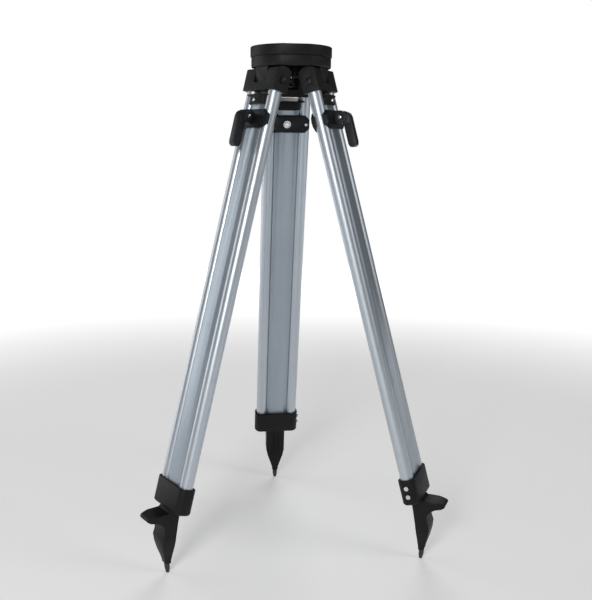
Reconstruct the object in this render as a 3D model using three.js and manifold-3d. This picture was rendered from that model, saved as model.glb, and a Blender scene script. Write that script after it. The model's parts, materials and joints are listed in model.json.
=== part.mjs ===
import * as THREE from "three";
import { mergeVertices } from "three/addons/utils/BufferGeometryUtils.js";
import Module from "manifold-3d";

const wasm = await Module();
wasm.setup();

// Driving dimensions, millimetres and degrees. Up is +Z, the rear leg points along +Y.
const legTilt = 15.5; // each leg leans out from upright
const hingeRadius = 57; // leg hinge to the upright axis
const footLength = 955; // hinge to spike tip, along the leg
const footInset = 26; // spike tip inward of the leg's middle plane
const tubeRadius = 12.7;
const tubeWall = 1.4;
const tubeOffset = 34.4; // tube centre from the leg's centre line
const clearance = 0.3;

const holderHalfWidth = 51;
const holderHalfDepth = 16;
const holderTopRadius = 26; // the holder's rounded top swings clear of the head's skirt
const holderDrop = 20; // holder's lower edge below the hinge
const lugHalfWidth = 19.5;
const lugRadius = 12;

const capTop = 28; // distances down the leg from the hinge
const capBottom = 46;
const profileTop = 33;
const clampTop = 57;
const clampBottom = 92;
const bracketTop = 777;
const bracketFloor = 787.5; // bottom of the mouth that takes the tubes
const bracketBottom = 827;
const tubeTop = 8.6;
const tubeBottom = 783;

const clampHalfWidth = 45.5;
const clampFace = 16;
const plateBack = 7;
const pivotOffset = 30; // lever pivot outward of the leg's middle plane
const pivotDown = 70;
const boltDown = 74.5;
const leverLength = 60;
const leverDepth = 16;

const headThickness = 19;
const headCasting = 12; // the head's solid top inside the skirt
const headTopAboveHinge = 66;
const skirtBottomAboveHinge = 27.5;
const skirtWall = 6;
const headRadius = 78;
const headFlat = 74; // the three sides between the legs are flattened to this
const headHoleRadius = 30;
const armPivotY = -44;
const screwRadius = 7.94; // 5/8 inch

const tilt = THREE.MathUtils.degToRad(legTilt);
const hingeHeight = footLength * Math.cos(tilt) + footInset * Math.sin(tilt);
const headTop = hingeHeight + headTopAboveHinge;

// ---- solids -----------------------------------------------------------------

function solidOf(geometry) {
  const bare = new THREE.BufferGeometry();
  const source = geometry.index ? geometry.toNonIndexed() : geometry;
  bare.setAttribute("position", source.getAttribute("position"));
  const merged = mergeVertices(bare, 1e-4);
  return new wasm.Manifold(
    new wasm.Mesh({
      numProp: 3,
      vertProperties: new Float32Array(merged.attributes.position.array),
      triVerts: new Uint32Array(merged.index.array),
    }),
  );
}

function geometryOf(solid) {
  const mesh = solid.getMesh();
  const stride = mesh.numProp;
  const positions = new Float32Array(mesh.numVert * 3);
  for (let i = 0; i < mesh.numVert; i += 1) {
    positions.set(mesh.vertProperties.subarray(i * stride, i * stride + 3), i * 3);
  }
  const indexed = new THREE.BufferGeometry();
  indexed.setAttribute("position", new THREE.BufferAttribute(positions, 3));
  indexed.setIndex(new THREE.BufferAttribute(new Uint32Array(mesh.triVerts), 1));
  const flat = indexed.toNonIndexed();
  flat.computeVertexNormals();
  return flat;
}

// Closed skin over matching rings, listed from low z to high z, each counter-clockwise from above.
function loft(rings) {
  const count = rings[0].points.length;
  const positions = [];
  const index = [];
  for (const ring of rings) {
    for (const [x, y] of ring.points) positions.push(x, y, ring.z);
  }
  for (let k = 0; k + 1 < rings.length; k += 1) {
    for (let i = 0; i < count; i += 1) {
      const a = k * count + i;
      const b = k * count + ((i + 1) % count);
      index.push(a, b, b + count, a, b + count, a + count);
    }
  }
  const low = THREE.ShapeUtils.triangulateShape(toVectors(rings[0].points), []);
  const high = THREE.ShapeUtils.triangulateShape(toVectors(rings.at(-1).points), []);
  const top = (rings.length - 1) * count;
  for (const [a, b, c] of low) index.push(c, b, a);
  for (const [a, b, c] of high) index.push(top + a, top + b, top + c);
  const geometry = new THREE.BufferGeometry();
  geometry.setAttribute("position", new THREE.Float32BufferAttribute(positions, 3));
  geometry.setIndex(index);
  return geometry;
}

function toVectors(points) {
  return points.map(([x, y]) => new THREE.Vector2(x, y));
}

// Rounded rectangle centred on (cx, cy), counter-clockwise.
function roundedRect(width, depth, radius, cx = 0, cy = 0, steps = 4) {
  const points = [];
  const hx = width / 2 - radius;
  const hy = depth / 2 - radius;
  const corners = [
    [hx, hy, 0],
    [-hx, hy, 90],
    [-hx, -hy, 180],
    [hx, -hy, 270],
  ];
  for (const [x, y, start] of corners) {
    for (let i = 0; i <= steps; i += 1) {
      const a = THREE.MathUtils.degToRad(start + (90 * i) / steps);
      points.push([cx + x + radius * Math.cos(a), cy + y + radius * Math.sin(a)]);
    }
  }
  return points;
}

function block(x0, x1, y0, y1, z0, z1) {
  const box = new THREE.BoxGeometry(x1 - x0, y1 - y0, z1 - z0);
  box.translate((x0 + x1) / 2, (y0 + y1) / 2, (z0 + z1) / 2);
  return solidOf(box);
}

// Rod between two stations of an axis: "x", "y" or "z", through (p, q) of the other two axes.
function rod(axis, radius, from, to, p, q, segments = 20) {
  const rodShape = new THREE.CylinderGeometry(radius, radius, to - from, segments);
  if (axis === "x") rodShape.rotateZ(-Math.PI / 2).translate((from + to) / 2, p, q);
  if (axis === "y") rodShape.translate(p, (from + to) / 2, q);
  if (axis === "z") rodShape.rotateX(Math.PI / 2).translate(p, q, (from + to) / 2);
  return solidOf(rodShape);
}

// Side profile in (y, z) swept across x.
function acrossX(points, x0, x1) {
  const shape = new THREE.Shape(toVectors(points));
  const slab = new THREE.ExtrudeGeometry(shape, { depth: x1 - x0, bevelEnabled: false });
  slab.applyMatrix4(new THREE.Matrix4().set(0, 0, 1, x0, 1, 0, 0, 0, 0, 1, 0, 0, 0, 0, 0, 1));
  return solidOf(slab);
}

// Face outline in (x, z) swept along y.
function alongY(points, y0, y1) {
  const shape = new THREE.Shape(toVectors(points));
  const slab = new THREE.ExtrudeGeometry(shape, { depth: y1 - y0, bevelEnabled: false });
  slab.rotateX(Math.PI / 2).translate(0, y1, 0);
  return solidOf(slab);
}

function joined(solids) {
  return solids.reduce((all, next) => all.add(next));
}

// ---- frames -----------------------------------------------------------------

const legs = [
  ["rear", 90],
  ["left", 210],
  ["right", 330],
];

// A leg's own frame: x across the leg, y outward, z up the leg, origin on the hinge axis.
function legMatrix(azimuth) {
  const turn = new THREE.Matrix4().makeRotationZ(THREE.MathUtils.degToRad(azimuth - 90));
  const move = new THREE.Matrix4().makeTranslation(0, hingeRadius, hingeHeight);
  const lean = new THREE.Matrix4().makeRotationX(tilt);
  return turn.multiply(move).multiply(lean);
}

const group = new THREE.Group();

function addPart(name, solid, color, metalness, roughness, matrix = null) {
  const material = new THREE.MeshStandardMaterial({ color, metalness, roughness });
  const mesh = new THREE.Mesh(geometryOf(solid), material);
  mesh.name = name;
  if (matrix) mesh.applyMatrix4(matrix);
  group.add(mesh);
}

const black = 0x1c1c1e;
const silver = 0xc9ccd0;
const steel = 0x6d7276;

// ---- leg pieces, in the leg's own frame ---------------------------------------

// Outline of the sliding extrusion, grown by a margin.
function profileOutline(grow) {
  const points = [];
  const hug = tubeRadius + 0.7 - grow;
  const lipAngle = Math.asin((8.4 + grow) / hug);
  const right = [];
  for (let i = 0; i <= 6; i += 1) {
    const a = lipAngle * (-1 + (2 * i) / 6);
    right.push([tubeOffset - hug * Math.cos(a), hug * Math.sin(a)]);
  }
  const upper = [];
  for (let i = 1; i <= 3; i += 1) {
    const a = THREE.MathUtils.degToRad(30 + 20 * i);
    upper.push([14.5 + (9.6 + grow) * Math.cos(a), 2.3 + (9.6 + grow) * Math.sin(a)]);
  }
  points.push(...right);
  points.push(...upper);
  points.push(...upper.map(([x, y]) => [-x, y]).reverse());
  points.push(...right.map(([x, y]) => [-x, y]).reverse());
  points.push(...upper.map(([x, y]) => [-x, -y]));
  points.push(...upper.map(([x, y]) => [x, -y]).reverse());
  return points;
}

function profileSolid(grow, zLow, zHigh) {
  const points = profileOutline(grow);
  return solidOf(loft([{ z: zLow, points }, { z: zHigh, points }]));
}

function tubeSpace(radius, zLow, zHigh) {
  return rod("z", radius, zLow, zHigh, tubeOffset, 0, 28).add(
    rod("z", radius, zLow, zHigh, -tubeOffset, 0, 28),
  );
}

function legHolder() {
  const side = [
    [-holderHalfDepth, -holderDrop],
    [holderHalfDepth, -holderDrop],
  ];
  const shoulder = Math.acos(holderHalfDepth / holderTopRadius);
  for (let i = 0; i <= 8; i += 1) {
    const a = shoulder + ((Math.PI - 2 * shoulder) * i) / 8;
    side.push([holderTopRadius * Math.cos(a), holderTopRadius * Math.sin(a)]);
  }
  const whole = acrossX(side, -holderHalfWidth, holderHalfWidth);
  const lugSlot = lugHalfWidth + 0.6;
  const slotTop = block(-lugSlot, lugSlot, -30, 30, 0, 40);
  const slotRound = rod("x", lugRadius + 0.8, -lugSlot, lugSlot, 0, 0, 32);
  const slotSides = block(-lugSlot, lugSlot, -30, 30, -5, 1);
  const sockets = tubeSpace(tubeRadius + clearance, -holderDrop - 5, -tubeTop + 0.4);
  const boltHole = rod("x", 4.3, -60, 60, 0, 0, 16);
  let body = whole.subtract(slotTop).subtract(slotRound).subtract(slotSides);
  body = body.subtract(sockets).subtract(boltHole);
  for (const x of [27.5, 36, 44.5]) {
    for (const sign of [-1, 1]) {
      const pocket = block(sign * x - 2.8, sign * x + 2.8, -30, -9.5, 6.5, 40);
      body = body.subtract(pocket);
    }
  }
  return body;
}

function hingeBolt() {
  const shank = rod("x", 4, -holderHalfWidth - 2, holderHalfWidth + 2, 0, 0, 16);
  const head = rod("x", 6, holderHalfWidth + 0.3, holderHalfWidth + 3, 0, 0, 20);
  const nut = rod("x", 6.4, -holderHalfWidth - 3, -holderHalfWidth - 0.3, 0, 0, 6);
  return joined([shank, head, nut]);
}

function tube(sign) {
  const x = sign * tubeOffset;
  const outer = rod("z", tubeRadius, -tubeBottom, -tubeTop, x, 0, 28);
  const inner = rod("z", tubeRadius - tubeWall, -tubeBottom - 1, -tubeTop + 1, x, 0, 28);
  return outer.subtract(inner);
}

function tubeGuide() {
  const low = -bracketFloor + 0.6;
  const high = -tubeBottom - clearance;
  const points = roundedRect(93.8, 25, 12.4);
  let body = solidOf(loft([{ z: low, points }, { z: high, points }]));
  const plugRadius = tubeRadius - tubeWall - clearance;
  for (const x of [-tubeOffset, tubeOffset]) {
    body = body.add(rod("z", plugRadius, low, -tubeBottom + 22, x, 0, 24));
  }
  return body.subtract(profileSolid(clearance, low - 5, high + 40));
}

function lowerProfile() {
  const low = -bracketBottom + 4;
  const outer = profileSolid(0, low, -profileTop);
  const cavity = block(-18.5, 18.5, -9.3, 9.3, low - 2, -profileTop + 2);
  const boltHole = rod("y", 4.4, -30, 30, 0, -boltDown, 16);
  return outer.subtract(cavity).subtract(boltHole);
}

function guideCap() {
  const points = [
    [25, 10],
    [23, 13.5],
    [13.5, 18.2],
    [-13.5, 18.2],
    [-23, 13.5],
    [-25, 10],
    [-25, -10],
    [-23, -13.5],
    [-13.5, -18.2],
    [13.5, -18.2],
    [23, -13.5],
    [25, -10],
  ];
  const core = solidOf(loft([{ z: -capBottom, points }, { z: -capTop, points }]));
  const flangePoints = roundedRect(68, 33, 5);
  const flange = solidOf(
    loft([{ z: -capTop - 2.6, points: flangePoints }, { z: -capTop, points: flangePoints }]),
  );
  return core
    .add(flange)
    .subtract(tubeSpace(tubeRadius + 0.5, -capBottom - 5, -capTop + 5))
    .subtract(profileSolid(clearance, -capBottom - 5, -profileTop + clearance));
}

function platePoints(halfWidth, top, bottom, chamfer) {
  return [
    [halfWidth, -top - chamfer],
    [halfWidth, -bottom + chamfer],
    [halfWidth - chamfer, -bottom],
    [-halfWidth + chamfer, -bottom],
    [-halfWidth, -bottom + chamfer],
    [-halfWidth, -top - chamfer],
    [-halfWidth + chamfer, -top],
    [halfWidth - chamfer, -top],
  ];
}

function clampPlate(sign) {
  const face = platePoints(clampHalfWidth, clampTop, clampBottom, 8.5);
  const rim = platePoints(clampHalfWidth - 1.5, clampTop + 1.5, clampBottom - 1.5, 8.5);
  const thick = alongY(face, plateBack, clampFace - 1.5);
  const raised = alongY(rim, clampFace - 2, clampFace);
  let plate = thick.add(raised);
  plate = plate.subtract(tubeSpace(tubeRadius + clearance, -clampBottom - 5, -clampTop + 5));
  plate = plate.subtract(profileSolid(clearance, -clampBottom - 5, -clampTop + 5));
  plate = plate.subtract(rod("y", 4.4, 0, 30, 0, -boltDown, 16));
  if (sign < 0) {
    plate = plate.mirror([0, 1, 0]);
  }
  return plate;
}

function clampBolt() {
  const head = rod("y", 6, -clampFace - 6.5, -clampFace - 1.5, 0, -boltDown, 6);
  const washer = rod("y", 7.6, -clampFace - 1.8, -clampFace - 0.3, 0, -boltDown, 24);
  const shank = rod("y", 4, -clampFace - 5, pivotOffset - 6, 0, -boltDown, 16);
  const eye = rod("x", 8.3, -4, 4, pivotOffset, -boltDown, 20);
  const hole = rod("x", 3.3, -10, 10, pivotOffset, -boltDown, 16);
  return joined([head, washer, shank, eye]).subtract(hole);
}

function leverPin() {
  return rod("x", 3, -14.6, 14.6, pivotOffset, -boltDown, 16);
}

function clampLever() {
  const z = -boltDown;
  const y = pivotOffset;
  const cam = rod("x", 12.4, -12.8, 12.8, y - 1, z, 28);
  const back = y + 2;
  const front = back + leverDepth;
  const low = z - leverLength;
  const handleSide = [
    [y - 4, z],
    [back, z - 17],
    [back, low + 7],
    [back + 2, low + 2],
    [back + 6, low],
    [front - 5, low],
    [front - 1.5, low + 3],
    [front, low + 8],
    [front, z - 4],
    [front - 2, z + 3],
    [front - 6, z + 7],
    [y + 5, z + 8],
  ];
  const handle = acrossX(handleSide, -8, 8);
  const shoulder = [
    [y - 4, z],
    [back + 1, z - 16],
    [front - 2, z - 14],
    [front - 1, z - 4],
    [front - 3, z + 2],
    [front - 7, z + 6],
    [y + 5, z + 7],
  ];
  const neck = acrossX(shoulder, -10, 10);
  const slot = block(-4.5, 4.5, y - 20, y + 9.2, z - 9.2, z + 30);
  const pinHole = rod("x", 3.3, -20, 20, y, z, 16);
  return cam.add(handle).add(neck).subtract(slot).subtract(pinHole);
}

function footBracket() {
  const ring = (inset) => roundedRect(101 - 2 * inset, 34 - 2 * inset, 13 - inset);
  const outer = solidOf(
    loft([
      { z: -bracketBottom, points: ring(2.5) },
      { z: -bracketBottom + 3, points: ring(0) },
      { z: -bracketTop - 1, points: ring(0) },
      { z: -bracketTop, points: ring(0.9) },
    ]),
  );
  const mouthPoints = roundedRect(96, 28.4, 13);
  const mouth = solidOf(
    loft([{ z: -bracketFloor, points: mouthPoints }, { z: -bracketTop + 5, points: mouthPoints }]),
  );
  let body = outer.subtract(mouth).subtract(profileSolid(clearance, -900, -700));
  for (const z of [-792, -809]) {
    body = body.subtract(rod("x", 2.8, 26, 60, 0, z, 12));
  }
  return body;
}

function bracketScrew(z) {
  const head = rod("x", 4.4, 50.8, 53.4, 0, z, 20);
  const shank = rod("x", 2.4, 26.5, 52, 0, z, 12);
  const slot = block(52.6, 60, -0.7, 0.7, z - 6, z + 6);
  return head.add(shank).subtract(slot);
}

function footCasting() {
  const side = [
    [-7, -bracketBottom - clearance],
    [-8.5, -850],
    [-11.5, -880],
    [-16, -905],
    [-22.5, -936],
    [-11, -937],
    [-5, -926],
    [4, -912],
    [11, -898],
    [15, -886],
    [14, -874],
    [17, -863],
    [26, -855],
    [37, -852],
    [47, -853.5],
    [53, -852],
    [56, -848],
    [54, -844],
    [45, -840.5],
    [16, -832.5],
    [12, -bracketBottom - clearance],
  ];
  const front = [
    [-21.5, -bracketBottom + 5],
    [-21.5, -884],
    [-18, -899],
    [-11, -918],
    [-7, -930],
    [-6.8, -945],
    [6.8, -945],
    [7, -930],
    [11, -918],
    [18, -899],
    [21.5, -884],
    [21.5, -bracketBottom + 5],
  ];
  const plan = [
    [-30, -60],
    [30, -60],
    [30, 18],
    [12.5, 60],
    [-12.5, 60],
    [-30, 18],
  ];
  const taper = solidOf(loft([{ z: -960, points: plan }, { z: -810, points: plan }]));
  const body = acrossX([...side].reverse(), -30, 30).intersect(alongY(front, -60, 90)).intersect(taper);
  const tongue = block(-17.8, 17.8, -8.8, 8.8, -bracketBottom - 5, -bracketBottom + 20);
  const spikeHole = rod("z", 3.4, -950, -922, 0, -15.5, 16);
  const panel = [
    [-40, -835],
    [-40, -930],
    [-11.5, -893],
    [-4.5, -850],
    [-4.5, -835],
  ];
  const recess = acrossX([...panel].reverse(), -9, 9).subtract(acrossX([...panel].reverse(), -1.6, 1.6));
  return joined([body, tongue]).subtract(recess).subtract(spikeHole);
}

function footPoint() {
  const peg = rod("z", 3, -939, -923, 0, -15.5, 16);
  const ring = (z, radius, y) => ({
    z,
    points: roundedRect(2 * radius, 2 * radius, radius * 0.98, 0, y, 4),
  });
  const cone = solidOf(
    loft([ring(-966, 0.8, -26.9), ring(-948, 5.2, -20.8), ring(-937.6, 5.6, -17.2)]),
  );
  const ground = new THREE.BoxGeometry(80, 80, 40);
  ground.translate(0, 0, -20);
  const underTip = new THREE.Matrix4().makeTranslation(0, 287, 0);
  ground.applyMatrix4(legMatrix(90).invert().multiply(underTip));
  return peg.add(cone).subtract(solidOf(ground));
}

for (const [leg, azimuth] of legs) {
  const place = legMatrix(azimuth);
  addPart("leg_holder_" + leg, legHolder(), black, 0.1, 0.5, place);
  addPart("hinge_bolt_" + leg, hingeBolt(), steel, 0.9, 0.35, place);
  addPart("tube_a_" + leg, tube(-1), silver, 0.9, 0.3, place);
  addPart("tube_b_" + leg, tube(1), silver, 0.9, 0.3, place);
  addPart("tube_guide_" + leg, tubeGuide(), black, 0, 0.6, place);
  addPart("lower_profile_" + leg, lowerProfile(), silver, 0.9, 0.35, place);
  addPart("guide_cap_" + leg, guideCap(), black, 0, 0.55, place);
  addPart("clamp_outer_" + leg, clampPlate(1), black, 0.1, 0.5, place);
  addPart("clamp_inner_" + leg, clampPlate(-1), black, 0.1, 0.5, place);
  addPart("clamp_bolt_" + leg, clampBolt(), silver, 0.9, 0.3, place);
  addPart("lever_pin_" + leg, leverPin(), silver, 0.9, 0.3, place);
  addPart("clamp_lever_" + leg, clampLever(), black, 0.1, 0.5, place);
  addPart("foot_bracket_" + leg, footBracket(), black, 0.1, 0.5, place);
  addPart("bracket_screw_top_" + leg, bracketScrew(-792), silver, 0.9, 0.3, place);
  addPart("bracket_screw_low_" + leg, bracketScrew(-809), silver, 0.9, 0.3, place);
  addPart("foot_casting_" + leg, footCasting(), black, 0.1, 0.55, place);
  addPart("foot_point_" + leg, footPoint(), steel, 0.9, 0.4, place);
}

// ---- head ---------------------------------------------------------------------

// Disc with three flats between the legs, counter-clockwise.
function headOutline(inset) {
  const points = [];
  const half = THREE.MathUtils.radToDeg(Math.acos(headFlat / headRadius));
  for (const azimuth of [90, 210, 330]) {
    const sweep = 60 - half;
    for (let i = 0; i <= 14; i += 1) {
      const b = THREE.MathUtils.degToRad(azimuth - sweep + (2 * sweep * i) / 14);
      const r = headRadius - inset;
      points.push([r * Math.cos(b), r * Math.sin(b)]);
    }
  }
  return points;
}

function headPlate() {
  const skirtBottom = hingeHeight + skirtBottomAboveHinge;
  const plateBottom = headTop - headCasting;
  const seam = headTop - headThickness;
  const outer = solidOf(
    loft([
      { z: skirtBottom, points: headOutline(2.6) },
      { z: skirtBottom + 2, points: headOutline(1.6) },
      { z: seam - 0.9, points: headOutline(1.6) },
      { z: seam - 0.9 + 0.3, points: headOutline(2.4) },
      { z: seam, points: headOutline(2.4) },
      { z: seam + 0.4, points: headOutline(0) },
      { z: headTop - 1.2, points: headOutline(0) },
      { z: headTop, points: headOutline(1.2) },
    ]),
  );
  const hollow = solidOf(
    loft([
      { z: skirtBottom - 5, points: headOutline(skirtWall + 1.6) },
      { z: plateBottom, points: headOutline(skirtWall + 1.6) },
    ]),
  );
  let head = outer.subtract(hollow);
  for (const [, azimuth] of legs) {
    const side = [
      [-lugRadius, 0],
      [-lugRadius * 0.87, -lugRadius * 0.5],
      [-lugRadius * 0.5, -lugRadius * 0.87],
      [0, -lugRadius],
      [lugRadius * 0.5, -lugRadius * 0.87],
      [lugRadius * 0.87, -lugRadius * 0.5],
      [lugRadius, 0],
      [lugRadius, headTopAboveHinge - headCasting + 2],
      [-lugRadius, headTopAboveHinge - headCasting + 2],
    ];
    const lug = acrossX(side, -lugHalfWidth, lugHalfWidth)
      .subtract(rod("x", 4.4, -40, 40, 0, 0, 16))
      .translate([0, hingeRadius, hingeHeight])
      .rotate([0, 0, azimuth - 90]);
    head = head.add(lug);
  }
  const boss = rod("z", 9, plateBottom - 3.6, plateBottom + 2, 0, armPivotY, 24);
  head = head.add(boss);
  head = head.subtract(rod("z", headHoleRadius, plateBottom - 20, headTop + 5, 0, 0, 48));
  head = head.subtract(rod("z", 3.4, plateBottom - 20, headTop - 3, 0, armPivotY, 16));
  return head;
}

const armTop = headTop - headCasting - 4;
const armBottom = armTop - 6;

function screwArm() {
  const outline = [];
  const edge = (cx, cy, r, from, to, steps) => {
    for (let i = 0; i <= steps; i += 1) {
      const a = THREE.MathUtils.degToRad(from + ((to - from) * i) / steps);
      outline.push([cx + r * Math.cos(a), cy + r * Math.sin(a)]);
    }
  };
  edge(0, armPivotY, 10, 180, 360, 8);
  edge(0, 14, 17, -10, 190, 12);
  const bar = solidOf(loft([{ z: armBottom, points: outline }, { z: armTop, points: outline }]));
  const slotPoints = roundedRect(16.8, 42, 8.2, 0, 0, 6);
  const slot = solidOf(
    loft([{ z: armBottom - 5, points: slotPoints }, { z: armTop + 5, points: slotPoints }]),
  );
  return bar.subtract(slot).subtract(rod("z", 3.4, armBottom - 5, armTop + 5, 0, armPivotY, 16));
}

function armPivotBolt() {
  const shank = rod("z", 3, armBottom - 1, headTop - 4, 0, armPivotY, 16);
  const head = rod("z", 7, armBottom - 5, armBottom - 0.3, 0, armPivotY, 6);
  return shank.add(head);
}

function centreScrew() {
  const profile = [
    new THREE.Vector2(0, armBottom - 35),
    new THREE.Vector2(6.2, armBottom - 35),
    new THREE.Vector2(6.2, armBottom - 8),
    new THREE.Vector2(12, armBottom - 8),
    new THREE.Vector2(12, armBottom - 0.4),
    new THREE.Vector2(screwRadius - 0.9, armBottom - 0.4),
  ];
  const pitch = 25.4 / 11;
  let z = armTop + 1.6;
  profile.push(new THREE.Vector2(screwRadius - 0.9, z));
  while (z + pitch < headTop - 3.5) {
    profile.push(new THREE.Vector2(screwRadius, z + pitch * 0.35));
    profile.push(new THREE.Vector2(screwRadius, z + pitch * 0.6));
    profile.push(new THREE.Vector2(screwRadius - 0.9, z + pitch));
    z += pitch;
  }
  profile.push(new THREE.Vector2(screwRadius - 1.6, headTop - 2.5));
  profile.push(new THREE.Vector2(0, headTop - 2.5));
  return solidOf(new THREE.LatheGeometry(profile, 24).rotateX(Math.PI / 2));
}

function screwKnob() {
  const top = armBottom - 9;
  const bottom = top - 24;
  const points = (scale) => {
    const ring = [];
    for (let i = 0; i < 48; i += 1) {
      const a = (i / 48) * Math.PI * 2;
      const r = (15.5 + 1.2 * Math.cos(a * 12)) * scale;
      ring.push([r * Math.cos(a), r * Math.sin(a)]);
    }
    return ring;
  };
  const grip = solidOf(
    loft([
      { z: bottom, points: points(0.88) },
      { z: bottom + 3, points: points(1) },
      { z: top - 3, points: points(1) },
      { z: top, points: points(0.85) },
    ]),
  );
  return grip.subtract(rod("z", 6.5, bottom - 5, top + 5, 0, 0, 24));
}

function slideWasher() {
  const ring = rod("z", 13, armTop + 0.3, armTop + 1.3, 0, 0, 32);
  return ring.subtract(rod("z", 7.5, armTop - 5, armTop + 5, 0, 0, 24));
}

function plumbHook() {
  const z = armBottom - 35.3;
  const collar = rod("z", 5, z - 5, z, 0, 0, 20);
  const loop = new THREE.TorusGeometry(5, 1.4, 8, 20);
  loop.rotateX(Math.PI / 2).translate(0, 0, z - 10);
  return collar.add(solidOf(loop));
}

addPart("head_plate", headPlate(), black, 0.1, 0.5);
addPart("screw_arm", screwArm(), steel, 0.9, 0.4);
addPart("arm_pivot_bolt", armPivotBolt(), steel, 0.9, 0.35);
addPart("centre_screw", centreScrew(), silver, 0.9, 0.3);
addPart("screw_knob", screwKnob(), black, 0, 0.6);
addPart("plumb_hook", plumbHook(), silver, 0.9, 0.3);
addPart("slide_washer", slideWasher(), silver, 0.9, 0.3);

// The origin sits under the middle of the overall box.
const box = new THREE.Box3().setFromObject(group, true);
const recentre = new THREE.Matrix4().makeTranslation(0, -(box.min.y + box.max.y) / 2, 0);
for (const mesh of group.children) mesh.applyMatrix4(recentre);

export default group;
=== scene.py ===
import json
import math

import bmesh
import bpy
from mathutils import Matrix, Vector


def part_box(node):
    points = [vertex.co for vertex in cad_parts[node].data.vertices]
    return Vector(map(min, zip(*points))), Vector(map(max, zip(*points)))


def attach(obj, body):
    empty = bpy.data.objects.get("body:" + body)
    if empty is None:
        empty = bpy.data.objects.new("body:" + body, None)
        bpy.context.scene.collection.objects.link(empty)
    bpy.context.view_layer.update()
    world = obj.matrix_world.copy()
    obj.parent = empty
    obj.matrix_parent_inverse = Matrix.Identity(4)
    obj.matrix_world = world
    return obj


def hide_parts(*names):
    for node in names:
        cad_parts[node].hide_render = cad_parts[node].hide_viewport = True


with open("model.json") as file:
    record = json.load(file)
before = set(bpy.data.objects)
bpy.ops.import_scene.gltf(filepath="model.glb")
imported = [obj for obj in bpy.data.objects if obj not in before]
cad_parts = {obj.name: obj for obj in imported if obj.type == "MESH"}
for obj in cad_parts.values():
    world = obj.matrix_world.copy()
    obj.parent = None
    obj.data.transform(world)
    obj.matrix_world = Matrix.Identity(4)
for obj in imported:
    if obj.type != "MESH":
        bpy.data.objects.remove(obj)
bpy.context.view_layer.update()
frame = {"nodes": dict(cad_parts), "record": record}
print("frame loaded")

legs = {"rear": 90.0, "left": 210.0, "right": 330.0}
stance = {  # metres and degrees, the same as the frame's
    "lean": 15.5,
    "hingeRadius": 0.057,
    "footLength": 0.955,
    "footInset": 0.026,
}
lean = math.radians(stance["lean"])
hingeHeight = stance["footLength"] * math.cos(lean) + stance["footInset"] * math.sin(lean)
screwLow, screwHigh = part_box("centre_screw")
axisY = (screwLow[1] + screwHigh[1]) / 2  # the upright axis


def legMatrix(azimuth):  # x across the leg, y outward, z up the leg, origin on the hinge
    turn = Matrix.Rotation(math.radians(azimuth - 90), 4, "Z")
    move = Matrix.Translation((0, stance["hingeRadius"], hingeHeight))
    return Matrix.Translation((0, axisY, 0)) @ turn @ move @ Matrix.Rotation(lean, 4, "X")


class Sock:
    def __init__(self, tree, socket):
        self.tree = tree
        self.socket = socket

    def node(self, kind, settings=None, **inputs):
        made = self.tree.nodes.new(kind)
        for key, value in (settings or {}).items():
            if key == "stops":
                ramp = made.color_ramp
                while len(ramp.elements) < len(value):
                    ramp.elements.new(0.5)
                for element, (place, colour) in zip(ramp.elements, value):
                    element.position = place
                    element.color = colour
            else:
                setattr(made, key, value)
        for key, value in inputs.items():
            name = key.replace("_", " ")
            numbered = key[0] == "i" and key[1:].isdigit()  # i0 is the first input
            slot = made.inputs[int(key[1:]) if numbered else name]
            if isinstance(value, Sock):
                self.tree.links.new(value.socket, slot)
            else:
                slot.default_value = value
        return made

    def out(self, kind, settings=None, output=0, **inputs):
        return Sock(self.tree, self.node(kind, settings, **inputs).outputs[output])

    def math(self, operation, other=0.0, third=0.0):
        settings = {"operation": operation}
        return self.out("ShaderNodeMath", settings, i0=self, i1=other, i2=third)

    def __add__(self, other):
        return self.math("ADD", other)

    __radd__ = __add__

    def __mul__(self, other):
        return self.math("MULTIPLY", other)

    __rmul__ = __mul__

    def __sub__(self, other):
        return self.math("SUBTRACT", other)

    def __rsub__(self, other):
        return (self * -1.0) + other

    def clamp(self):
        return self.out("ShaderNodeClamp", None, Value=self)

    def between(self, low, high):
        return self.out(
            "ShaderNodeMapRange", {"interpolation_type": "SMOOTHSTEP"},
            Value=self, From_Min=low, From_Max=high,
        )

    def mix(self, dark, light):  # this value picks between two colours
        made = self.tree.nodes.new("ShaderNodeMix")
        made.data_type = "RGBA"
        self.tree.links.new(self.socket, made.inputs[0])
        for slot, value in ((made.inputs[6], dark), (made.inputs[7], light)):
            if isinstance(value, Sock):
                self.tree.links.new(value.socket, slot)
            else:
                slot.default_value = (*value, 1.0)
        return Sock(self.tree, made.outputs[2])


def newMaterial(name):
    material = bpy.data.materials.new(name)
    material.use_nodes = True
    tree = material.node_tree
    shader = tree.nodes["Principled BSDF"]
    place = tree.nodes.new("ShaderNodeTexCoord")
    return material, shader, Sock(tree, place.outputs["Object"])


def wire(sock, shader, name):
    sock.tree.links.new(sock.socket, shader.inputs[name])


def placed(where, matrix, stretch=(1.0, 1.0, 1.0)):  # object coordinates in a leg's own frame
    back = matrix.inverted()
    turn = back.to_euler()
    moved = where.out(
        "ShaderNodeMapping", {"vector_type": "POINT"},
        Vector=where, Location=back.to_translation(), Rotation=turn,
    )
    return moved.out("ShaderNodeMapping", {"vector_type": "POINT"}, Vector=moved, Scale=stretch)


def noise(where, scale, detail=2.0, rough=0.5):
    return where.out(
        "ShaderNodeTexNoise", {"noise_dimensions": "3D"},
        Vector=where, Scale=scale, Detail=detail, Roughness=rough,
    )


def vectorMath(where, operation, **inputs):  # the Value output
    return where.out("ShaderNodeVectorMath", {"operation": operation}, output=1, **inputs)


edgeSoft = {"samples": 6, "none": 0.995, "full": 0.90}  # how far the softened normal turns


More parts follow.
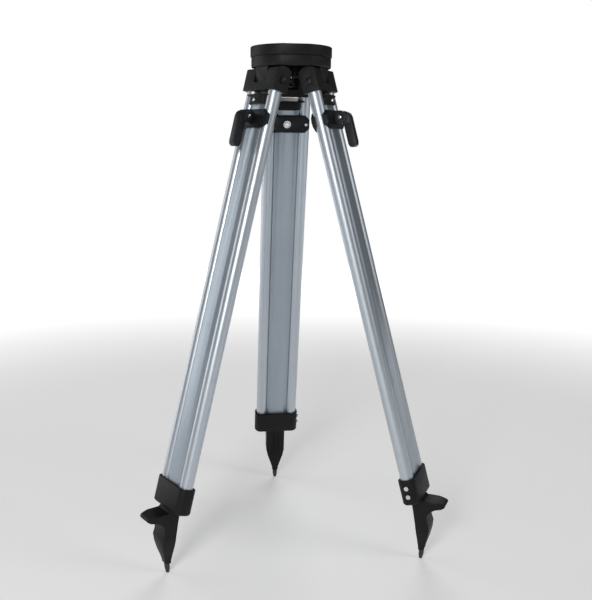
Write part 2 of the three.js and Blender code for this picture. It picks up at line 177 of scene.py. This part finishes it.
def wearEdge(where, radius):  # 1 on outer edges, from a softened normal
    soft = where.out("ShaderNodeBevel", {"samples": edgeSoft["samples"]}, Radius=radius)
    flat = where.out("ShaderNodeNewGeometry", None, output=1)
    turned = vectorMath(where, "DOT_PRODUCT", i0=soft, i1=flat)
    return turned.between(edgeSoft["none"], edgeSoft["full"])


def blotches(where, look):  # three numbers for the noise, then where it starts and fills
    scale, detail, rough, start, full = look
    return noise(where, scale, detail, rough).between(start, full)


coatWear = {  # noises as blotches takes them, colours, and shares of the roughness
    "scuff": (6.0, 0.72, 0.60, 0.78), "scuffColour": (0.055, 0.056, 0.060), "scuffSink": -0.25,
    "dust": (26.0, 5.0, 0.65, 0.52, 0.80), "dustColour": (0.075, 0.073, 0.070),
    "rub": (120.0, 4.0, 0.7, 0.40, 0.66),
    "broadRough": 0.10, "fineRough": 0.08, "dustRough": 0.10, "rubRough": 0.08,
}


def blackCoat(name, look):
    wear = coatWear
    material, shader, where = newMaterial(name)
    broad = noise(where, look["patchScale"], 3.0, 0.55)
    fine = noise(where, look["pebbleScale"], 2.0, 0.6)
    scuff = blotches(where, (look["scuffScale"], *wear["scuff"]))
    dust = blotches(where, wear["dust"])
    rub = (wearEdge(where, look["edge"]) * blotches(where, wear["rub"])).clamp()
    base = broad.mix(look["dark"], look["light"])
    base = (dust * look["dust"]).mix(base, wear["dustColour"])
    base = (scuff * look["scuff"]).mix(base, wear["scuffColour"])
    base = (rub * look["rub"]).mix(base, look["rubColour"])
    wire(base, shader, "Base Color")
    rough = broad * wear["broadRough"] + look["rough"] + fine * wear["fineRough"]
    rough = (rough + dust * wear["dustRough"] - rub * wear["rubRough"]).clamp()
    wire(rough, shader, "Roughness")
    height = fine + scuff * wear["scuffSink"]
    bump = where.out(
        "ShaderNodeBump", None, Strength=look["bump"], Distance=look["depth"], Height=height
    )
    wire(bump, shader, "Normal")
    shader.inputs["Specular IOR Level"].default_value = look["specular"]
    return material


castLook = {
    "patchScale": 14.0, "pebbleScale": 1500.0, "scuffScale": 45.0, "edge": 0.0012,
    "dark": (0.0044, 0.0044, 0.0047), "light": (0.0080, 0.0080, 0.0085),
    "dust": 0.07, "scuff": 0.12, "rub": 0.30, "rubColour": (0.060, 0.060, 0.063),
    "rough": 0.42, "bump": 0.30, "depth": 0.00025, "specular": 0.22,
}
clampLook = {
    "patchScale": 20.0, "pebbleScale": 2200.0, "scuffScale": 60.0, "edge": 0.0008,
    "dark": (0.0042, 0.0054, 0.0080), "light": (0.0080, 0.0096, 0.0130),
    "dust": 0.06, "scuff": 0.10, "rub": 0.24, "rubColour": (0.040, 0.044, 0.052),
    "rough": 0.32, "bump": 0.18, "depth": 0.00018, "specular": 0.26,
}
plasticLook = {
    "patchScale": 24.0, "pebbleScale": 2600.0, "scuffScale": 70.0, "edge": 0.0006,
    "dark": (0.0060, 0.0062, 0.0070), "light": (0.0100, 0.0102, 0.0112),
    "dust": 0.08, "scuff": 0.10, "rub": 0.20, "rubColour": (0.040, 0.040, 0.042),
    "rough": 0.46, "bump": 0.14, "depth": 0.00015, "specular": 0.22,
}


drawMarks = {  # left along the metal by drawing and handling
    "streakStretch": 0.06, "streak": (95.0, 4.0, 0.6), "streakShare": 0.6,
    "cloud": (9.0, 2.0, 0.5), "cloudShare": 0.4,
    "scratchStretch": 0.02, "scratch": (420.0, 3.0, 0.8, 0.62, 0.80), "scratchShare": 0.30,
    "scratchSink": -0.6, "smudge": (34.0, 5.0, 0.6, 0.55, 0.80), "smudgeShare": 0.18,
    "lineRough": 0.10, "streakRough": 0.06, "smudgeRough": 0.12, "depth": 0.00012,
}


def anodised(name, matrix, look):
    marks = drawMarks
    material, shader, where = newMaterial(name)
    along = placed(where, matrix, (1.0, 1.0, look["lineStretch"]))
    lines = noise(along, look["lineScale"], 3.0, 0.6)
    streak = noise(placed(where, matrix, (1.0, 1.0, marks["streakStretch"])), *marks["streak"])
    cloud = noise(where, *marks["cloud"])
    scratched = placed(where, matrix, (1.0, 1.0, marks["scratchStretch"]))
    scratch = blotches(scratched, marks["scratch"])
    smudge = blotches(where, marks["smudge"])
    base = streak * marks["streakShare"] + cloud * marks["cloudShare"]
    base = base.mix(look["dark"], look["light"])
    base = (scratch * marks["scratchShare"]).mix(base, look["scratch"])
    base = (smudge * marks["smudgeShare"]).mix(base, look["smudge"])
    wire(base, shader, "Base Color")
    shader.inputs["Metallic"].default_value = look["metal"]
    rough = lines * marks["lineRough"] + streak * marks["streakRough"]
    rough = (rough + smudge * marks["smudgeRough"] + look["rough"]).clamp()
    wire(rough, shader, "Roughness")
    height = lines + scratch * marks["scratchSink"]
    bump = where.out(
        "ShaderNodeBump", None, Strength=look["bump"], Distance=marks["depth"], Height=height
    )
    wire(bump, shader, "Normal")
    return material


tubeLook = {
    "lineStretch": 0.015, "lineScale": 900.0, "metal": 0.90, "rough": 0.33, "bump": 0.10,
    "dark": (0.47, 0.52, 0.57), "light": (0.60, 0.65, 0.70),
    "scratch": (0.33, 0.36, 0.40), "smudge": (0.40, 0.43, 0.47),
}
profileLook = {
    "lineStretch": 0.008, "lineScale": 1300.0, "metal": 0.82, "rough": 0.33, "bump": 0.20,
    "dark": (0.33, 0.385, 0.44), "light": (0.43, 0.485, 0.54),
    "scratch": (0.24, 0.27, 0.31), "smudge": (0.28, 0.31, 0.35),
}


platingMarks = {
    "cloud": (60.0, 4.0, 0.6), "grain": (1800.0, 2.0, 0.6), "spots": (240.0, 5.0, 0.7, 0.60, 0.74),
    "cloudRough": 0.12, "spotRough": 0.22, "bump": 0.10, "depth": 0.0001,
}


def plated(name, look):
    marks = platingMarks
    material, shader, where = newMaterial(name)
    cloud = noise(where, *marks["cloud"])
    grain = noise(where, *marks["grain"])
    spots = blotches(where, marks["spots"])
    base = cloud.mix(look["dark"], look["light"])
    base = (spots * look["spots"]).mix(base, look["spotColour"])
    wire(base, shader, "Base Color")
    shader.inputs["Metallic"].default_value = 1.0
    rough = cloud * marks["cloudRough"] + spots * marks["spotRough"] + look["rough"]
    wire(rough.clamp(), shader, "Roughness")
    height = grain + cloud
    bump = where.out(
        "ShaderNodeBump", None, Strength=marks["bump"], Distance=marks["depth"], Height=height
    )
    wire(bump, shader, "Normal")
    return material


darkSteelLook = {
    "dark": (0.040, 0.042, 0.046), "light": (0.085, 0.088, 0.094), "rough": 0.36,
    "spots": 0.45, "spotColour": (0.050, 0.044, 0.040),
}
oxideLook = {
    "dark": (0.020, 0.021, 0.024), "light": (0.042, 0.044, 0.050), "rough": 0.32,
    "spots": 0.30, "spotColour": (0.075, 0.072, 0.070),
}
brightSteelLook = {
    "dark": (0.58, 0.59, 0.61), "light": (0.76, 0.77, 0.78), "rough": 0.20,
    "spots": 0.18, "spotColour": (0.36, 0.36, 0.36),
}

finishes = {
    "black_cast": blackCoat("castCoat", castLook),
    "black_clamp": blackCoat("clampNylon", clampLook),
    "black_plastic": blackCoat("mouldedPlastic", plasticLook),
    "steel": plated("darkSteel", darkSteelLook),
    "black_oxide": plated("oxideSteel", oxideLook),
    "bright_steel": plated("brightSteel", brightSteelLook),
}
for leg, azimuth in legs.items():
    place = legMatrix(azimuth)
    finishes["silver_tube_" + leg] = anodised("tubeAnodised_" + leg, place, tubeLook)
    finishes["silver_profile_" + leg] = anodised("profileAnodised_" + leg, place, profileLook)
print("finishes made")


def finishFor(slot, node):
    for leg in legs:
        if node.endswith("_" + leg) and slot + "_" + leg in finishes:
            return finishes[slot + "_" + leg]
    return finishes[slot]


slotOf = {part["node"]: part["material_slot"] for part in frame["record"]["subparts"]}
bodies = frame["record"]["behaviour"]["bodies"]
bodyOf = {node: body for body, nodes in bodies.items() for node in nodes}
for node, thing in frame["nodes"].items():
    thing.data.materials.clear()
    thing.data.materials.append(finishFor(slotOf[node], node))


pieceLook = {  # metres and degrees
    "merge": 0.000005, "copyMerge": 0.00002, "flat": 1.0, "sharp": 30.0,
    "segments": 2, "copySegments": 3,
}


def settle(mesh):  # a new mesh only, and before it gets a wall
    bmesh.ops.remove_doubles(mesh, verts=mesh.verts, dist=pieceLook["merge"])
    bmesh.ops.recalc_face_normals(mesh, faces=mesh.faces)


def keep(mesh, name, matrix, slot, body, stands, bevel, segments, node):
    bmesh.ops.transform(mesh, matrix=matrix, verts=mesh.verts)
    data = bpy.data.meshes.new(name)
    mesh.to_mesh(data)
    mesh.free()
    thing = bpy.data.objects.new(name, data)
    bpy.context.scene.collection.objects.link(thing)
    for face in data.polygons:
        face.use_smooth = True
    edge = thing.modifiers.new("edge", "BEVEL")
    edge.width = bevel
    edge.segments = segments
    edge.limit_method = "ANGLE"
    edge.angle_limit = math.radians(pieceLook["sharp"])
    edge.harden_normals = True
    data.materials.append(finishFor(slot, node))
    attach(thing, body)
    if stands:
        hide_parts(*stands)


paintedShadeSlot = {"plumb_hook": "steel"}  # painted shade: the plumb hook sits deep under the head, so it gets the dark steel finish for the shade there


def rounded(node, bevel):  # a CAD node's own shape with soft edges
    mesh = bmesh.new()
    mesh.from_mesh(frame["nodes"][node].data)
    bmesh.ops.remove_doubles(mesh, verts=mesh.verts, dist=pieceLook["copyMerge"])
    bmesh.ops.dissolve_limit(
        mesh, angle_limit=math.radians(pieceLook["flat"]), verts=mesh.verts, edges=mesh.edges
    )
    # the plumb hook's dark steel slot picked here is painted shade for the shade under the head
    slot = paintedShadeSlot.get(node, slotOf[node])
    keep(
        mesh, node + "_finished", Matrix.Identity(4), slot, bodyOf[node],
        (node,), bevel, pieceLook["copySegments"], node,
    )


edgeSizes = {  # bevel width of each kind of node, metres
    "leg_holder": 0.0011, "clamp_outer": 0.0009, "clamp_inner": 0.0009, "clamp_lever": 0.0014,
    "foot_bracket": 0.0008, "foot_casting": 0.0016, "guide_cap": 0.0006, "hinge_bolt": 0.0005,
    "clamp_bolt": 0.0005, "head_plate": 0.0010, "screw_arm": 0.0005, "arm_pivot_bolt": 0.0005,
    "lower_profile": 0.0003, "tube_guide": 0.0004, "foot_point": 0.0004, "lever_pin": 0.0004,
    "screw_knob": 0.0004, "centre_screw": 0.00012, "plumb_hook": 0.0002, "slide_washer": 0.0002,
}


def stemOf(node):  # the node's name without its leg
    for leg in legs:
        node = node.removesuffix("_" + leg)
    return node


for node in frame["nodes"]:
    if stemOf(node) in edgeSizes:
        rounded(node, edgeSizes[stemOf(node)])
print("edges softened")

tubeSize = {  # metres, in the leg's frame
    "radius": 0.0127, "wall": 0.0014, "offset": 0.0344, "top": 0.0086, "bottom": 0.783,
    "sides": 72, "rings": 12, "edge": 0.00025,
}


def drawnTube(name, matrix, side, body, node):
    size = tubeSize
    mesh = bmesh.new()
    bmesh.ops.create_circle(mesh, segments=size["sides"], radius=size["radius"])
    start = (side * size["offset"], 0, -size["bottom"])
    bmesh.ops.translate(mesh, verts=mesh.verts, vec=start)
    edges = list(mesh.edges)
    step = (size["bottom"] - size["top"]) / size["rings"]
    for _ in range(size["rings"]):
        grown = bmesh.ops.extrude_edge_only(mesh, edges=edges)["geom"]
        verts = [item for item in grown if isinstance(item, bmesh.types.BMVert)]
        edges = [item for item in grown if isinstance(item, bmesh.types.BMEdge)]
        bmesh.ops.translate(mesh, verts=verts, vec=(0, 0, step))
    settle(mesh)
    bmesh.ops.solidify(mesh, geom=mesh.faces[:], thickness=size["wall"])
    segments = pieceLook["segments"]
    keep(mesh, name, matrix, "silver_tube", body, (node,), size["edge"], segments, node)


panShape = {  # shares of the head's radius and height: how far in, how far up
    "sides": 48, "taper": 0.90, "steps": ((0.34, 0.16), (0.14, 0.02), (0.02, -0.5)),
    "edge": 0.00018,  # metres
}
capScrew = {  # metres
    "head": 0.0040, "tall": 0.0022, "shank": 0.0017, "deep": 0.0030,
    "down": 0.0395, "out": 0.01822,
}
endScrew = {
    "head": 0.0034, "tall": 0.0018, "shank": 0.0016, "deep": 0.0030,
    "across": 0.0385, "down": 0.0745, "out": 0.01602,
}


def heightOf(face):
    return face.calc_center_median().z


def panScrew(name, matrix, size, body):  # its axis is +Z, seated on z = 0
    head, tall = size["head"], size["tall"]
    mesh = bmesh.new()
    bmesh.ops.create_cone(
        mesh, cap_ends=True, segments=panShape["sides"],
        radius1=head, radius2=head * panShape["taper"], depth=tall,
        matrix=Matrix.Translation((0, 0, tall / 2)),
    )
    top = max(mesh.faces, key=heightOf)
    for share, up in panShape["steps"]:
        bmesh.ops.inset_individual(mesh, faces=[top], thickness=head * share, depth=tall * up)
    low = min(mesh.faces, key=heightOf)
    bmesh.ops.inset_individual(mesh, faces=[low], thickness=head - size["shank"], depth=0.0)
    grown = bmesh.ops.extrude_discrete_faces(mesh, faces=[low])["faces"]
    bmesh.ops.translate(mesh, verts=grown[0].verts, vec=(0, 0, -size["deep"]))
    settle(mesh)
    edge, segments = panShape["edge"], pieceLook["segments"]
    keep(mesh, name, matrix, "bright_steel", body, (), edge, segments, name)


outward = Matrix.Rotation(math.radians(-90), 4, "X")
inward = Matrix.Rotation(math.radians(90), 4, "X")
for leg, azimuth in legs.items():
    place = legMatrix(azimuth)
    upper = "upper_" + leg
    lower = "lower_" + leg
    drawnTube("drawn_tube_a_" + leg, place, -1, upper, "tube_a_" + leg)
    drawnTube("drawn_tube_b_" + leg, place, 1, upper, "tube_b_" + leg)
    seat = Matrix.Translation((0, capScrew["out"], -capScrew["down"]))
    panScrew("cap_screw_" + leg, place @ seat @ outward, capScrew, lower)
    for letter, side in (("a", -1), ("b", 1)):
        across = side * endScrew["across"]
        seat = Matrix.Translation((across, -endScrew["out"], -endScrew["down"]))
        panScrew("plate_screw_" + letter + "_" + leg, place @ seat @ inward, endScrew, lower)
print("tubes and screws made")


floorLook = {  # its glow grows from near to far between two distances, metres
    "size": 3.6, "colour": (0.85, 0.85, 0.85, 1.0), "rough": 0.9,
    "near": 0.26, "far": 1.0, "start": 1.1, "end": 3.4,
}
floorMesh = bmesh.new()
bmesh.ops.create_grid(floorMesh, x_segments=1, y_segments=1, size=floorLook["size"])
floorData = bpy.data.meshes.new("floor")
floorMesh.to_mesh(floorData)
floorMesh.free()
floor = bpy.data.objects.new("floor", floorData)
bpy.context.scene.collection.objects.link(floor)
floorMaterial, floorShader, floorWhere = newMaterial("floorPaper")
floorShader.inputs["Base Color"].default_value = floorLook["colour"]
floorShader.inputs["Roughness"].default_value = floorLook["rough"]
floorShader.inputs["Emission Strength"].default_value = 1.0
away = vectorMath(floorWhere, "LENGTH", i0=floorWhere)
away = away.between(floorLook["start"], floorLook["end"])
glow = away.mix((floorLook["near"],) * 3, (floorLook["far"],) * 3)
wire(glow, floorShader, "Emission Color")
floorData.materials.append(floorMaterial)

lamps = {  # place, size, watts
    "key": ((-1.3, -2.9, 1.7), 1.0, 47.0),
    "left": ((-3.0, 1.5, 1.1), 2.2, 24.0),
    "fill": ((2.8, -1.6, 2.0), 1.4, 16.0),
    "back": ((0.8, 3.0, 2.6), 1.6, 30.0),
}
target = Vector((0, axisY, 0.5))  # half way up the tripod
for name, (spot, size, watts) in lamps.items():
    light = bpy.data.lights.new(name, "AREA")
    light.shape = "SQUARE"
    light.size = size
    light.energy = watts
    lamp = bpy.data.objects.new(name, light)
    lamp.location = spot
    lamp.rotation_euler = (target - Vector(spot)).to_track_quat("-Z", "Y").to_euler()
    bpy.context.scene.collection.objects.link(lamp)
world = bpy.context.scene.world or bpy.data.worlds.new("studio")
bpy.context.scene.world = world
world.use_nodes = True
worldTree = world.node_tree
sky = {"seen": 1.0, "lit": 0.12}  # white behind the tripod, softer light on it
background = worldTree.nodes["Background"]
background.inputs["Color"].default_value = (1.0, 1.0, 1.0, 1.0)
path = worldTree.nodes.new("ShaderNodeLightPath")
share = worldTree.nodes.new("ShaderNodeMapRange")
share.inputs["To Min"].default_value = sky["lit"]
share.inputs["To Max"].default_value = sky["seen"]
worldTree.links.new(path.outputs["Is Camera Ray"], share.inputs["Value"])
worldTree.links.new(share.outputs["Result"], background.inputs["Strength"])

cameraLook = {  # metres from the upright axis, degrees round it, lens in millimetres
    "distance": 1.618, "height": 0.817, "round": 6.1, "sideways": -0.0187,
    "pitch": 11.0, "yaw": 1.12, "roll": 0.47, "lens": 814.18 / 592.0 * 36.0,
}
turn = Matrix.Rotation(-math.radians(cameraLook["round"]), 4, "Z")
spot = Vector((cameraLook["sideways"], -cameraLook["distance"], 0))
spot = turn @ spot + Vector((0, axisY, cameraLook["height"]))
lens = bpy.data.cameras.new("camera")
lens.lens = cameraLook["lens"]
lens.sensor_width = 36.0
lens.sensor_fit = "HORIZONTAL"
camera = bpy.data.objects.new("camera", lens)
tilt = Matrix.Rotation(math.radians(90.0 - cameraLook["pitch"]), 4, "X")
heading = Matrix.Rotation(-math.radians(cameraLook["yaw"]), 4, "Z")
roll = Matrix.Rotation(math.radians(cameraLook["roll"]), 4, "Z")
camera.matrix_world = Matrix.Translation(spot) @ turn @ heading @ tilt @ roll
bpy.context.scene.collection.objects.link(camera)
bpy.context.scene.camera = camera
bpy.context.scene.view_settings.view_transform = "Standard"
print("stage set")

bpy.context.view_layer.update()
